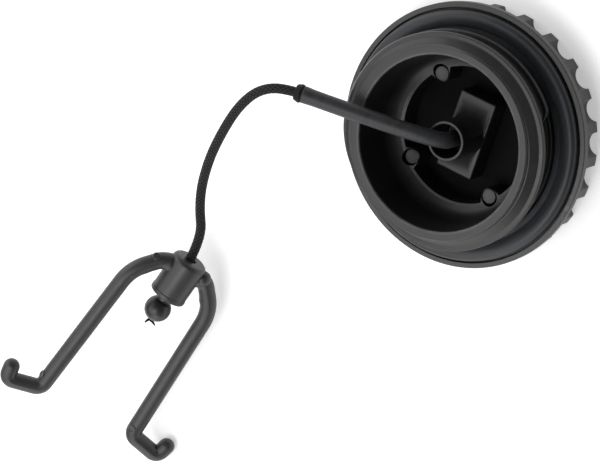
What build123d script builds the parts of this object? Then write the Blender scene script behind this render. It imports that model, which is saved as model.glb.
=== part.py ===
from build123d import *
import os
from math import cos, pi, radians, sin, sqrt, tan

# Screw-in fuel filler cap with a tether, in millimetres.
# The cap lies on its grip's outer face with its mouth up: +Z is the cap's axis, from the grip to the mouth.
# The origin is the centre of the grip's outer face, and +X runs towards the tether's side.

# ---------------------------------------------------------------- driving dimensions
# Grip: the outer knob, a pan with a toothed wall and a bezel lip
bezel_radius = 24.0
bezel_top = 8.0
bezel_thickness = 1.6
bezel_width = 1.0
grip_radius = 23.2
grip_edge_round = 1.4
grip_floor = 2.2
tooth_count = 24
tooth_land = 1.9
scallop_depth = 1.9
seal_seat_depth = 1.0

# Threaded cup: the hollow plug that enters the filler neck
skirt_radius = 18.3
skirt_height = 9.85
core_radius = 17.5
neck_height = 1.6
skirt_wall = 1.7
wall_draft = 0.6
rim_chamfer = 0.4
flange_width = 2.0
bowl_fillet = 3.4
bowl_fillet_top = 2.5
recess_radius = 12.4

# Screw thread on the skirt: one start, right-handed
thread_depth = 2.3
thread_pitch = 3.7
thread_turns = 1.24
thread_crest = 0.84
thread_base = 3.0
thread_embed = 0.4
thread_lift = 3.75
thread_angle = 177.0

# Stake pins of the grip and the cup's bosses that they pass through
stake_count = 4
stake_angle = 3.0
boss_circle = 12.0
boss_diameter = 4.3
boss_hole = 3.1
boss_drop = 0.8
stake_diameter = 2.6
stake_inset = 0.2
stake_drop = 0.9
stake_chamfer = 0.25

# Sealing ring
seal_thickness = 1.7
seal_crown = 0.6
seal_shoulder = 1.1
seal_flat = 1.0

# Tether post: a bar on the grip's floor with a tube standing on it
bar_length = 14.8
bar_width = 7.4
bar_drop = 1.0
bar_angle = 48.8
bar_edge_round = 0.3
tube_diameter = 7.2
tube_wall = 0.55
tube_height = 7.9
post_web = 0.85

# Tether: ball head, rubber sleeve, collar, braided cord and stopper bead
ball_diameter = 4.8
sleeve_diameter = 2.95
sleeve_bend = 3.5
sleeve_socket = 1.2
collar_diameter = 3.5
collar_length = 1.3
cord_diameter = 1.8
bead_diameter = 5.0
bead_drop = 7.4
neck_diameter = 2.9
tail_diameter = 0.6
tail_length = 1.7
tail_spread = 28.0
tail_offset = 0.36

# Retaining bracket: a barrel with two wire-form legs, moulded in one piece
barrel_diameter = 6.9
barrel_length = 8.4
barrel_top_round = 0.9
barrel_foot_round = 0.4
barrel_counterbore = 5.0
barrel_counterbore_depth = 3.0
neck_depth = 2.5
wire_diameter = 3.1
arm_root = 1.7
arm_reach = 4.6
arm_radius = 5.0
shoulder_reach = 8.75
shoulder_drop = 3.0
shoulder_radius = 10.5
leg_drop = 32.3
foot_half_gap = 10.05
foot_reach = 16.6
foot_slope = 1.5
hook_rise = 2.6
hook_lean = 0.5
hook_radius = 1.7

# Where the bracket hangs on its cord: heading, roll and pitch of the barrel's axis
barrel_x = 65.6
barrel_y = 8.2
barrel_heading = 214.6
barrel_roll = 38.3
barrel_pitch = -6.4

# Named clearances
cup_clearance = 0.1
seal_clearance = 0.1
sleeve_clearance = 0.07
ball_clearance = 0.05
cord_clearance = 0.08

# ---------------------------------------------------------------- heights and radii that follow
seat_height = bezel_top - seal_seat_depth
bezel_underside = bezel_top - bezel_thickness
rim_height = bezel_top + skirt_height
flange_radius = skirt_radius + flange_width
mouth_radius = core_radius - skirt_wall
bowl_radius = mouth_radius - wall_draft
bowl_fillet_height = bezel_top + bowl_fillet_top
boss_top = bezel_top - boss_drop
stake_top = bezel_top - stake_drop
bar_top = bezel_top - bar_drop
ball_height = grip_floor + ball_diameter / 2 + ball_clearance
sleeve_radius = sleeve_diameter / 2
sleeve_foot = ball_height + sqrt((ball_diameter / 2) ** 2 - sleeve_radius**2)
web_top = ball_height + ball_diameter / 2 + ball_clearance + post_web
wire_radius = wire_diameter / 2

os.makedirs("parts", exist_ok=True)


def bend_radii(points):
    """Radius of the arc at each inner point: 0.45 of the shorter run over the tangent of half the turn."""
    radii = []
    for before, here, after in zip(points, points[1:], points[2:]):
        run_in = Vector(*here) - Vector(*before)
        run_out = Vector(*after) - Vector(*here)
        turn = radians(run_in.get_angle(run_out))
        radii.append(0.45 * min(run_in.length, run_out.length) / tan(turn / 2))
    return radii


# ---------------------------------------------------------------- grip
scallop_gap = 2 * pi * grip_radius / tooth_count - tooth_land
scallop_radius = (scallop_gap**2 / 4 + scallop_depth**2) / (2 * scallop_depth)
scallop_circle = grip_radius - scallop_depth + scallop_radius

with BuildPart() as grip:
    # The pan with its floor, wall, seal seat and bezel lip
    with BuildSketch(Plane.XZ):
        with BuildLine():
            Polyline(
                (0, grip_floor),
                (0, 0),
                (grip_radius - grip_edge_round, 0),
            )
            RadiusArc(
                (grip_radius - grip_edge_round, 0),
                (grip_radius, grip_edge_round),
                -grip_edge_round,
            )
            Polyline(
                (grip_radius, grip_edge_round),
                (grip_radius, bezel_underside),
                (bezel_radius, bezel_underside),
                (bezel_radius, bezel_top),
                (bezel_radius - bezel_width, bezel_top),
                (bezel_radius - bezel_width, seat_height),
                (flange_radius + cup_clearance, seat_height),
                (flange_radius + cup_clearance, grip_floor),
                (0, grip_floor),
            )
        make_face()
    revolve(axis=Axis.Z)
    # Scallops between the teeth, under the bezel
    with BuildSketch(Plane.XY):
        with PolarLocations(scallop_circle, tooth_count, start_angle=180 / tooth_count):
            Circle(scallop_radius)
    extrude(amount=bezel_underside, mode=Mode.SUBTRACT)
    # Stake pins that hold the cup
    with BuildSketch(Plane.XY.offset(grip_floor)):
        with PolarLocations(boss_circle - stake_inset, stake_count, start_angle=stake_angle):
            Circle(stake_diameter / 2)
    extrude(amount=stake_top - grip_floor)
    stake_ends = grip.edges().filter_by(GeomType.CIRCLE).filter_by(
        lambda edge: abs(edge.radius - stake_diameter / 2) < 0.01 and abs(edge.center().Z - stake_top) < 0.01
    )
    chamfer(stake_ends, stake_chamfer)
grip.part.label = "grip"
export_step(grip.part, "parts/grip.step")

# ---------------------------------------------------------------- screw thread
thread_rise = thread_pitch * thread_turns
flank_slope = (thread_base - thread_crest) / (2 * thread_depth)
root_half = thread_base / 2 + flank_slope * thread_embed

with BuildPart() as thread:
    with BuildLine() as thread_route:
        Helix(pitch=thread_pitch, height=thread_rise, radius=core_radius)
    with BuildSketch(Plane(origin=thread_route.line @ 0, x_dir=(1, 0, 0), z_dir=thread_route.line % 0)):
        Polygon(
            (-thread_embed, -root_half),
            (thread_depth, -thread_crest / 2),
            (thread_depth, thread_crest / 2),
            (-thread_embed, root_half),
            align=None,
        )
    sweep(path=thread_route.line, is_frenet=True)

# ---------------------------------------------------------------- threaded cup
fillet_end = bowl_fillet_height - sqrt(bowl_fillet**2 - (recess_radius - bowl_radius + bowl_fillet) ** 2)

with BuildPart() as cup:
    # Flange, skirt and bowl
    with BuildSketch(Plane.XZ):
        with BuildLine():
            Polyline(
                (recess_radius, fillet_end),
                (recess_radius, grip_floor),
                (flange_radius, grip_floor),
                (flange_radius, seat_height),
                (skirt_radius, seat_height),
                (skirt_radius, bezel_top + neck_height),
                (core_radius, bezel_top + neck_height),
                (core_radius, rim_height - rim_chamfer),
                (core_radius - rim_chamfer, rim_height),
                (mouth_radius + rim_chamfer, rim_height),
                (mouth_radius, rim_height - rim_chamfer),
                (bowl_radius, bowl_fillet_height),
            )
            RadiusArc(
                (bowl_radius, bowl_fillet_height),
                (recess_radius, fillet_end),
                bowl_fillet,
            )
        make_face()
    revolve(axis=Axis.Z)
    # Screw thread
    with Locations(Location((0, 0, bezel_top + thread_lift), (0, 0, thread_angle))):
        add(thread.part)
    # Bosses at the edge of the recess, with the holes for the stake pins
    with BuildSketch(Plane.XY.offset(grip_floor)):
        with PolarLocations(boss_circle, stake_count, start_angle=stake_angle):
            Circle(boss_diameter / 2)
    extrude(amount=boss_top - grip_floor)
    with BuildSketch(Plane.XY.offset(grip_floor)):
        with PolarLocations(boss_circle, stake_count, start_angle=stake_angle):
            Circle(boss_hole / 2)
    extrude(amount=bowl_fillet_height - grip_floor, mode=Mode.SUBTRACT)
cup.part.label = "cup"
export_step(cup.part, "parts/cup.step")

# ---------------------------------------------------------------- sealing ring
seal_outer = bezel_radius - bezel_width - seal_clearance
seal_inner = skirt_radius + seal_clearance
seal_top = seat_height + seal_thickness
crown_radius = seal_outer - seal_shoulder
crown_top = seal_top + seal_crown
crown_foot = seal_inner + seal_flat

with BuildPart() as seal:
    with BuildSketch(Plane.XZ):
        with BuildLine():
            Polyline(
                (crown_foot, seal_top),
                (seal_inner, seal_top),
                (seal_inner, seat_height),
                (seal_outer, seat_height),
                (seal_outer, crown_top - seal_shoulder),
            )
            RadiusArc((seal_outer, crown_top - seal_shoulder), (crown_radius, crown_top), -seal_shoulder)
            TangentArc((crown_radius, crown_top), (crown_foot, seal_top), tangent=(-1, 0))
        make_face()
    revolve(axis=Axis.Z)
seal.part.label = "seal"
export_step(seal.part, "parts/seal.step")

# ---------------------------------------------------------------- tether post
with BuildPart() as tether_post:
    # Bar on the grip's floor
    with BuildSketch(Plane.XY.offset(grip_floor)):
        Rectangle(bar_length, bar_width, rotation=bar_angle)
    extrude(amount=bar_top - grip_floor)
    fillet(tether_post.edges().filter_by(Axis.Z), bar_edge_round)
    # Tube on the bar
    with BuildSketch(Plane.XY.offset(bar_top)):
        Circle(tube_diameter / 2)
    extrude(amount=tube_height)
    with BuildSketch(Plane.XY.offset(web_top)):
        Circle(tube_diameter / 2 - tube_wall)
    extrude(amount=bar_top + tube_height - web_top, mode=Mode.SUBTRACT)
    # Socket for the ball head, and the hole that its stem leaves by
    with BuildSketch(Plane.XZ):
        with BuildLine():
            Polyline(
                (0, ball_height + ball_diameter / 2 + ball_clearance),
                (0, grip_floor),
                (ball_diameter / 2 + ball_clearance, grip_floor),
                (ball_diameter / 2 + ball_clearance, ball_height),
            )
            RadiusArc(
                (ball_diameter / 2 + ball_clearance, ball_height),
                (0, ball_height + ball_diameter / 2 + ball_clearance),
                -(ball_diameter / 2 + ball_clearance),
            )
        make_face()
    revolve(axis=Axis.Z, mode=Mode.SUBTRACT)
    with BuildSketch(Plane.XY.offset(ball_height)):
        Circle(sleeve_radius + sleeve_clearance)
    extrude(amount=web_top - ball_height, mode=Mode.SUBTRACT)
tether_post.part.label = "tether_post"
export_step(tether_post.part, "parts/tether_post.step")

# ---------------------------------------------------------------- ball head
with BuildPart() as ball_head:
    with Locations((0, 0, ball_height)):
        Sphere(ball_diameter / 2)
    split(bisect_by=Plane.XY.offset(sleeve_foot), keep=Keep.BOTTOM)
ball_head.part.label = "ball_head"
export_step(ball_head.part, "parts/ball_head.step")

# ---------------------------------------------------------------- sleeve and collar
sleeve_points = [
    (0, 0, sleeve_foot),
    (0, 0, 15.9),
    (9.9, -7.9, 20.3),
    (19.9, -15.9, 23.2),
]
sleeve_end = Vector(*sleeve_points[-1])
sleeve_aim = (sleeve_end - Vector(*sleeve_points[-2])).normalized()
sleeve_radii = [sleeve_bend, bend_radii(sleeve_points)[1]]
print("sleeve radii", [round(radius, 1) for radius in sleeve_radii])

with BuildPart() as sleeve:
    with BuildLine() as sleeve_route:
        FilletPolyline(*sleeve_points, radius=sleeve_radii)
    with BuildSketch(Plane.XY.offset(sleeve_foot)):
        Circle(sleeve_radius)
    sweep(path=sleeve_route.line)
    # Socket that the cord's end is set in
    with BuildSketch(Plane(origin=sleeve_end, z_dir=sleeve_aim)):
        Circle(cord_diameter / 2)
    extrude(amount=-sleeve_socket, mode=Mode.SUBTRACT)
sleeve.part.label = "sleeve"
export_step(sleeve.part, "parts/sleeve.step")

with BuildPart() as collar:
    with BuildSketch(Plane(origin=sleeve_end, z_dir=sleeve_aim)):
        Circle(collar_diameter / 2)
        Circle(cord_diameter / 2, mode=Mode.SUBTRACT)
    extrude(amount=collar_length)
collar.part.label = "collar"
export_step(collar.part, "parts/collar.step")

# ---------------------------------------------------------------- bracket's frame
# side points from the barrel to the higher leg, along points up the barrel's bore, towards the cord
heading = radians(barrel_heading)
roll = radians(barrel_roll)
pitch = radians(barrel_pitch)
along = Vector(cos(heading) * cos(pitch), sin(heading) * cos(pitch), sin(pitch))
level_side = Vector(-sin(heading), cos(heading), 0)
upright = along.cross(level_side) * -1
upright = upright if upright.Z > 0 else upright * -1
side = level_side * cos(roll) + upright * sin(roll)

# The lower hook's round tip touches the ground, which sets the barrel's height
hook_tip = (foot_reach + hook_lean, hook_rise - foot_slope - leg_drop)
tip_drop = -hook_tip[0] * side.Z + hook_tip[1] * along.Z
barrel_z = wire_radius - tip_drop
barrel_centre = Vector(barrel_x, barrel_y, barrel_z)
bracket_plane = Plane(origin=barrel_centre, x_dir=side, z_dir=side.cross(along))
barrel_plane = Plane(origin=barrel_centre, x_dir=side, z_dir=along)


def wire_path(mirror):
    """Centre line of one arm, leg, foot and hook, on the bracket's own plane."""
    return [
        (0, arm_root),
        (mirror * arm_reach, arm_root),
        (mirror * shoulder_reach, -shoulder_drop),
        (mirror * foot_half_gap, -leg_drop),
        (mirror * foot_reach, -leg_drop - foot_slope),
        (mirror * hook_tip[0], hook_tip[1]),
    ]


# ---------------------------------------------------------------- bracket
with BuildPart() as bracket:
    # Barrel
    with BuildSketch(barrel_plane.offset(-barrel_length / 2)):
        Circle(barrel_diameter / 2)
    extrude(amount=barrel_length)
    barrel_rims = bracket.edges().filter_by(GeomType.CIRCLE).sort_by(Axis(barrel_centre, along))
    fillet(barrel_rims[-1], barrel_top_round)
    fillet(barrel_rims[0], barrel_foot_round)
    # Two wire-form legs with round hook tips
    for mirror in (1, -1):
        with BuildLine(bracket_plane) as leg_route:
            FilletPolyline(
                *wire_path(mirror),
                radius=[arm_radius, shoulder_radius, hook_radius, hook_radius],
            )
        with BuildSketch(Plane(origin=leg_route.line @ 0, z_dir=leg_route.line % 0)):
            Circle(wire_radius)
        sweep(path=leg_route.line)
        with Locations(Plane(origin=leg_route.line @ 1, z_dir=leg_route.line % 1)):
            Sphere(wire_radius)
    # Bore for the cord, and the wider bore that the bead's neck enters
    with BuildSketch(barrel_plane.offset(-barrel_length / 2)):
        Circle(cord_diameter / 2 + cord_clearance)
    extrude(amount=barrel_length, mode=Mode.SUBTRACT)
    with BuildSketch(barrel_plane.offset(-barrel_length / 2)):
        Circle(barrel_counterbore / 2)
    extrude(amount=barrel_counterbore_depth, mode=Mode.SUBTRACT)
bracket.part.label = "bracket"
export_step(bracket.part, "parts/bracket.step")

# ---------------------------------------------------------------- stopper bead and cord tails
neck_end = barrel_centre - along * (barrel_length / 2 - neck_depth)
bead_centre = barrel_centre - along * bead_drop
bead_flat = sqrt((bead_diameter / 2) ** 2 - (tail_offset + tail_diameter / 2) ** 2)

with BuildPart() as bead:
    with Locations(bead_centre):
        Sphere(bead_diameter / 2)
    split(bisect_by=Plane(origin=bead_centre - along * bead_flat, z_dir=along), keep=Keep.TOP)
    with BuildSketch(Plane(origin=bead_centre, z_dir=along)):
        Circle(neck_diameter / 2)
    extrude(amount=(neck_end - bead_centre).length)
bead.part.label = "bead"
export_step(bead.part, "parts/bead.step")

for name, mirror in (("tail_a", 1), ("tail_b", -1)):
    tail_foot = bead_centre - along * bead_flat + side * (mirror * tail_offset)
    with BuildPart() as tail:
        with BuildSketch(Plane(origin=tail_foot, x_dir=side, z_dir=along * -1)):
            Circle(tail_diameter / 2)
        tail_aim = along * -cos(radians(tail_spread)) + side * (mirror * sin(radians(tail_spread)))
        extrude(amount=tail_length, dir=tail_aim, taper=0)
    tail.part.label = name
    export_step(tail.part, f"parts/{name}.step")

# ---------------------------------------------------------------- braided cord
cord_points = [
    tuple(sleeve_end - sleeve_aim * sleeve_socket),
    tuple(sleeve_end + sleeve_aim * 3.4),
    (27.4, -19.2, 24.0),
    (33.4, -17.8, 22.4),
    (40.4, -14.4, 19.4),
    (48.0, -10.0, 15.3),
    (54.9, -4.2, 10.9),
    tuple(barrel_centre + along * 8.0),
    tuple(neck_end),
]
cord_radii = bend_radii(cord_points)
print("cord radii", [round(radius, 1) for radius in cord_radii])

with BuildPart() as cord:
    with BuildLine() as cord_route:
        FilletPolyline(*cord_points, radius=cord_radii)
    with BuildSketch(Plane(origin=cord_points[0], z_dir=sleeve_aim)):
        Circle(cord_diameter / 2)
    sweep(path=cord_route.line)
cord.part.label = "cord"
export_step(cord.part, "parts/cord.step")
cord_length = sum(edge.length for edge in cord_route.line.edges())
cord_section = pi * cord_diameter**2 / 4
print("cord length", round(cord_length, 1))
print("cord volume over section times length", round(cord.part.volume / (cord_section * cord_length), 4))
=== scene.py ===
"""Dresses the tethered screw-in fuel filler cap.

Lengths are in millimetres, as in the part's source, and every mesh is stored in metres with its
object at the origin. The cap's axis is +Z and the origin is the centre of the grip's outer face.
"""

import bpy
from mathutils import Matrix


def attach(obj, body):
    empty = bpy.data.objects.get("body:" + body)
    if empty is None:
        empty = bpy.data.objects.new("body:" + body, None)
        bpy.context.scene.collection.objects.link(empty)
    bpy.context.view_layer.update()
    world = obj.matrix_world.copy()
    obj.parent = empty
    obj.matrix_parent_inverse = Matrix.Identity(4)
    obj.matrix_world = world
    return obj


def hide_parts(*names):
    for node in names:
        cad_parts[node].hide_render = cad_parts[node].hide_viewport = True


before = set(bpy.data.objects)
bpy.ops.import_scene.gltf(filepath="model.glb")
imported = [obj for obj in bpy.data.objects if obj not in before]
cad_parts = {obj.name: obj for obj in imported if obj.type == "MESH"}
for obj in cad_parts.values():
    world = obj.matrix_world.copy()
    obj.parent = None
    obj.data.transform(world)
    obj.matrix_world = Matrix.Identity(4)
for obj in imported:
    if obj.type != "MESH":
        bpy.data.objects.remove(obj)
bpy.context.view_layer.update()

import logging
from dataclasses import dataclass
from enum import Enum
from typing import Callable, List, Optional, Sequence, Tuple

import bmesh
import bpy
import numpy as np
from mathutils import Matrix

LOG = logging.getLogger("filler_cap")
MM = 0.001
TAU = 2 * np.pi
Point = Tuple[float, float, float]


class Body(Enum):
    """The bodies that pieces ride on."""

    CAP = "cap"
    TETHER = "tether"
    BRACKET = "bracket"


# ---------------------------------------------------------------- surfaces


@dataclass
class Shell:
    """One closed surface in millimetres.

    Attributes:
        points: vertex places, one row each.
        quads: the grid's faces.
        fans: triangles that close the ends.
        corner_uv: one pair for each corner of each quad, or None.
    """

    points: np.ndarray
    quads: np.ndarray
    fans: np.ndarray
    corner_uv: Optional[np.ndarray] = None

    def volume(self) -> float:
        """Signed volume: the sum of a . (b x c) / 6 over all triangles."""
        triangles = np.vstack([self.quads[:, [0, 1, 2]], self.quads[:, [0, 2, 3]], self.fans])
        a, b, c = (self.points[triangles[:, i]] for i in range(3))
        return float(np.einsum("ij,ij->i", a, np.cross(b, c)).sum() / 6)

    def outward(self) -> "Shell":
        """The same surface with all faces pointing outwards."""
        if self.volume() >= 0:
            return self
        uv = None if self.corner_uv is None else self.corner_uv[:, ::-1]
        return Shell(self.points, self.quads[:, ::-1], self.fans[:, ::-1], uv)


def closed_grid(grid: np.ndarray, ring: bool = False, uv: Optional[np.ndarray] = None) -> Shell:
    """Closes a grid of points into one surface.

    Point (i, j) joins its neighbours in row and column. Columns close on themselves. Rows close too
    for a ring; otherwise a fan to the mean of the first row, and of the last, closes each end.

    Args:
        grid: points, rows by columns by 3.
        ring: whether the rows close on themselves.
        uv: pairs, rows by columns by 2, whose second value runs from 0 to 1 round the columns.

    Returns:
        The surface.
    """
    rows, columns = grid.shape[:2]
    index = np.arange(rows * columns).reshape(rows, columns)
    near = index if ring else index[:-1]
    far = np.roll(index, -1, axis=0) if ring else index[1:]
    quads = np.stack([near, np.roll(near, -1, 1), np.roll(far, -1, 1), far], axis=-1)
    points, fans = grid.reshape(-1, 3), np.zeros((0, 3), int)
    if not ring:
        points = np.vstack([points, grid[[0, -1]].mean(axis=1)])
        start, end = np.full(columns, rows * columns), np.full(columns, rows * columns + 1)
        fans = np.vstack([
            np.stack([start, np.roll(index[0], -1), index[0]], axis=-1),
            np.stack([end, index[-1], np.roll(index[-1], -1)], axis=-1),
        ])
    corner_uv = None
    if uv is not None:
        corner_uv = uv.reshape(-1, 2)[quads]
        corner_uv[:, -1, 1:3, 1] += 1.0
        corner_uv = corner_uv.reshape(-1, 4, 2)
    return Shell(points, quads.reshape(-1, 4), fans, corner_uv)


def soften(corners: Sequence[Sequence[float]], rounding: Sequence[float], steps: int = 6,
           closed: bool = False) -> np.ndarray:
    """Rounds the corners of a line of points.

    Each corner becomes the arc that touches both its sides: centre = corner + q / sin(h) along the
    bisector, and the arc turns between its two touching points by spherical interpolation. A point
    just outside each end of the arc keeps the shading of flat sides flat.

    Args:
        corners: points of the line, in two or three dimensions.
        rounding: arc radius q at each inner corner, or at every corner of a closed line.
        steps: faces along each arc.
        closed: whether the line is an outline that closes on itself.

    Returns:
        The points of the softened line.
    """
    line = np.asarray(corners, float)
    inner = range(len(line)) if closed else range(1, len(line) - 1)
    pieces = [] if closed else [line[:1]]
    for at, q in zip(inner, rounding):
        here, before, after = line[at], line[at - 1], line[(at + 1) % len(line)]
        room = 0.48 * min(np.linalg.norm(before - here), np.linalg.norm(after - here))
        a = (before - here) / np.linalg.norm(before - here)
        b = (after - here) / np.linalg.norm(after - here)
        half = np.arccos(np.clip(a @ b, -1, 1)) / 2
        touch = min(q / np.tan(half), room)
        radius = touch * np.tan(half)
        centre = here + (a + b) / np.linalg.norm(a + b) * radius / np.sin(half)
        first, last = here + a * touch - centre, here + b * touch - centre
        span = np.pi - 2 * half
        f = np.linspace(0, 1, steps + 1)[:, None]
        arc = centre + (np.sin((1 - f) * span) * first + np.sin(f * span) * last) / np.sin(span)
        edge = min(0.05, 0.04 * room)
        pieces += [here[None] + a * (touch + edge), arc, here[None] + b * (touch + edge)]
    if not closed:
        pieces.append(line[-1:])
    return np.vstack(pieces)


def even_line(line: np.ndarray, spacing: float) -> np.ndarray:
    """Points at even distances along a line, by interpolation over its running length.

    Args:
        line: points of the line.
        spacing: distance wanted between points.

    Returns:
        The new points.
    """
    run = running_length(line)
    count = max(2, int(round(run[-1] / spacing)) + 1)
    wanted = np.linspace(0, run[-1], count)
    return np.stack([np.interp(wanted, run, line[:, i]) for i in range(line.shape[1])], axis=-1)


def running_length(line: np.ndarray) -> np.ndarray:
    """Distance from the line's start to each of its points."""
    return np.concatenate([[0], np.cumsum(np.linalg.norm(np.diff(line, axis=0), axis=1))])


def lathe(section: np.ndarray, columns: int, ring: bool = True) -> Shell:
    """Turns a section round the Z axis: point = (r cos a, r sin a, z).

    Args:
        section: pairs of radius and height.
        columns: faces round the axis.
        ring: whether the section is a closed outline.

    Returns:
        The surface.
    """
    angle = np.linspace(0, TAU, columns, endpoint=False)
    r, z = section[:, :1], np.repeat(section[:, 1:], columns, axis=1)
    return closed_grid(np.stack([r * np.cos(angle), r * np.sin(angle), z], axis=-1), ring)


def sweep(path: np.ndarray, radius: np.ndarray, columns: int, reference: Point,
          uv_scale: float = 0.0) -> Shell:
    """Carries a round section along a path.

    point = path + r (cos a . n + sin a . b), where t is the path's direction, n is the reference
    made square to t, and b = t x n.

    Args:
        path: centre line.
        radius: radius in each row, or in each row and column.
        columns: faces round the section.
        reference: a direction never in line with the path.
        uv_scale: turns of U for each millimetre of path; 0 gives no UV.

    Returns:
        The surface.
    """
    t = np.gradient(path, axis=0)
    t /= np.linalg.norm(t, axis=1, keepdims=True)
    n = np.asarray(reference, float) - (t @ np.asarray(reference, float))[:, None] * t
    n /= np.linalg.norm(n, axis=1, keepdims=True)
    b = np.cross(t, n)
    angle = np.linspace(0, TAU, columns, endpoint=False)[None, :, None]
    r = np.broadcast_to(np.asarray(radius, float).reshape(len(path), -1), (len(path), columns))
    grid = path[:, None] + r[..., None] * (np.cos(angle) * n[:, None] + np.sin(angle) * b[:, None])
    uv = None
    if uv_scale:
        u = np.repeat(running_length(path)[:, None] * uv_scale, columns, axis=1)
        uv = np.stack([u, np.repeat(angle[:, :, 0] / TAU, len(path), axis=0)], axis=-1)
    return closed_grid(grid, uv=uv)


def round_end(path: np.ndarray, radius: float, steps: int = 10) -> Tuple[np.ndarray, np.ndarray]:
    """Adds a half-sphere to a path's end: forward by r sin k while the radius is r cos k.

    Args:
        path: centre line.
        radius: radius of the half-sphere.
        steps: rows of the half-sphere.

    Returns:
        The longer path and the share of the full radius in each of its rows.
    """
    t = (path[-1] - path[-2]) / np.linalg.norm(path[-1] - path[-2])
    k = np.linspace(0, 0.98 * np.pi / 2, steps + 1)[1:]
    tip = path[-1] + np.sin(k)[:, None] * radius * t
    return np.vstack([path, tip]), np.concatenate([np.ones(len(path)), np.cos(k)])


def placed(shell: Shell, origin: Sequence[float], x_dir: Sequence[float],
           z_dir: Sequence[float]) -> Shell:
    """Moves a surface from its own axes: point = origin + x X + y (Z x X) + z Z.

    Args:
        shell: the surface on its own axes.
        origin: where its origin goes.
        x_dir: where its X axis points.
        z_dir: where its Z axis points.

    Returns:
        The moved surface.
    """
    x, z = np.asarray(x_dir, float), np.asarray(z_dir, float)
    axes = np.stack([x, np.cross(z, x), z])
    return Shell(shell.points @ axes + np.asarray(origin, float), shell.quads, shell.fans,
                 shell.corner_uv)


def smooth_step(x: np.ndarray) -> np.ndarray:
    """Rises smoothly from 0 at x = 0 to 1 at x = 1: x x (3 - 2 x)."""
    x = np.clip(x, 0, 1)
    return x * x * (3 - 2 * x)


def bump(x: np.ndarray, width: float) -> np.ndarray:
    """A bell of height 1: exp(-(x / width) squared)."""
    return np.exp(-((x / width) ** 2))


def make_piece(name: str, shells: Sequence[Shell]) -> bpy.types.Object:
    """Makes one mesh object from closed surfaces.

    Args:
        name: the piece's name.
        shells: its surfaces, in millimetres.

    Returns:
        The object, at the origin.
    """
    parts = [shell.outward() for shell in shells]
    starts = np.cumsum([0] + [len(part.points) for part in parts])[:-1]
    points = np.vstack([part.points for part in parts]) * MM
    faces: List[List[int]] = []
    for part, start in zip(parts, starts):
        faces += (part.quads + start).tolist() + (part.fans + start).tolist()
    mesh = bpy.data.meshes.new(name)
    mesh.from_pydata(points.tolist(), [], faces)
    mesh.polygons.foreach_set("use_smooth", np.ones(len(faces), bool))
    if all(part.corner_uv is not None for part in parts):
        pairs = [np.vstack([part.corner_uv.reshape(-1, 2),
                            part.corner_uv[:1, 0].repeat(3 * len(part.fans), axis=0)])
                 for part in parts]
        layer = mesh.uv_layers.new(name="UVMap")
        layer.data.foreach_set("uv", np.vstack(pairs).astype(np.float32).ravel())
    mesh.update()
    piece = bpy.data.objects.new(name, mesh)
    bpy.context.scene.collection.objects.link(piece)
    return piece


# ---------------------------------------------------------------- finishes


class Nodes:
    """Adds nodes to a tree and joins them."""

    def __init__(self, tree: bpy.types.NodeTree) -> None:
        """Keeps the tree."""
        self.tree = tree

    def add(self, kind: str, inputs: Optional[dict] = None, **settings: object) -> bpy.types.Node:
        """Adds a node.

        Args:
            kind: the node's type.
            inputs: by socket name or number, a value or the socket that feeds it.
            **settings: the node's own properties.

        Returns:
            The node.
        """
        node = self.tree.nodes.new(kind)
        for key, value in settings.items():
            setattr(node, key, value)
        for key, value in (inputs or {}).items():
            if isinstance(value, bpy.types.NodeSocket):
                self.tree.links.new(value, node.inputs[key])
            else:
                node.inputs[key].default_value = value
        return node

    def math(self, operation: str, *values: object) -> bpy.types.NodeSocket:
        """One Math node's result."""
        node = self.add("ShaderNodeMath", dict(enumerate(values)), operation=operation)
        return node.outputs[0]


def effect(name: str, inputs: Sequence[Tuple[str, float]], outputs: Sequence[str],
           build: Callable[[Nodes, bpy.types.Node], Sequence[bpy.types.NodeSocket]]
           ) -> bpy.types.NodeTree:
    """Makes a shader node group once, with named inputs and outputs.

    Args:
        name: the group's name.
        inputs: names and first values of its number inputs.
        outputs: names of its number outputs.
        build: adds the nodes and returns the sockets that feed the outputs, in order.

    Returns:
        The group.
    """
    if name in bpy.data.node_groups:
        return bpy.data.node_groups[name]
    tree = bpy.data.node_groups.new(name, "ShaderNodeTree")
    for label, value in inputs:
        socket = tree.interface.new_socket(label, in_out="INPUT", socket_type="NodeSocketFloat")
        socket.default_value = value
    for label in outputs:
        tree.interface.new_socket(label, in_out="OUTPUT", socket_type="NodeSocketFloat")
    nodes = Nodes(tree)
    results = build(nodes, nodes.add("NodeGroupInput"))
    nodes.add("NodeGroupOutput", dict(enumerate(results)))
    return tree


def mould_grain() -> bpy.types.NodeTree:
    """Fine grain of a spark-eroded mould: cells of noise at two sizes, as a height and a shade.

    Returns:
        The node group.
    """

    def build(nodes: Nodes, given: bpy.types.Node) -> Sequence[bpy.types.NodeSocket]:
        """Adds fine and coarse noise.

        Args:
            nodes: the group's nodes.
            given: the group's input node.

        Returns:
            The sockets that the group puts out.
        """
        place = nodes.add("ShaderNodeTexCoord").outputs["Object"]
        fine = nodes.add("ShaderNodeTexNoise", {"Vector": place, "Scale": given.outputs["Scale"],
                                                "Detail": 3.0, "Roughness": 0.6})
        coarse_scale = nodes.math("MULTIPLY", given.outputs["Scale"], 0.09)
        coarse = nodes.add("ShaderNodeTexNoise", {"Vector": place, "Scale": coarse_scale,
                                                  "Detail": 4.0, "Roughness": 0.55})
        height = nodes.math("MULTIPLY_ADD", coarse.outputs["Fac"], 0.35, fine.outputs["Fac"])
        return height, coarse.outputs["Fac"]

    return effect("mould_grain", [("Scale", 3000.0)], ["Height", "Shade"], build)


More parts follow.
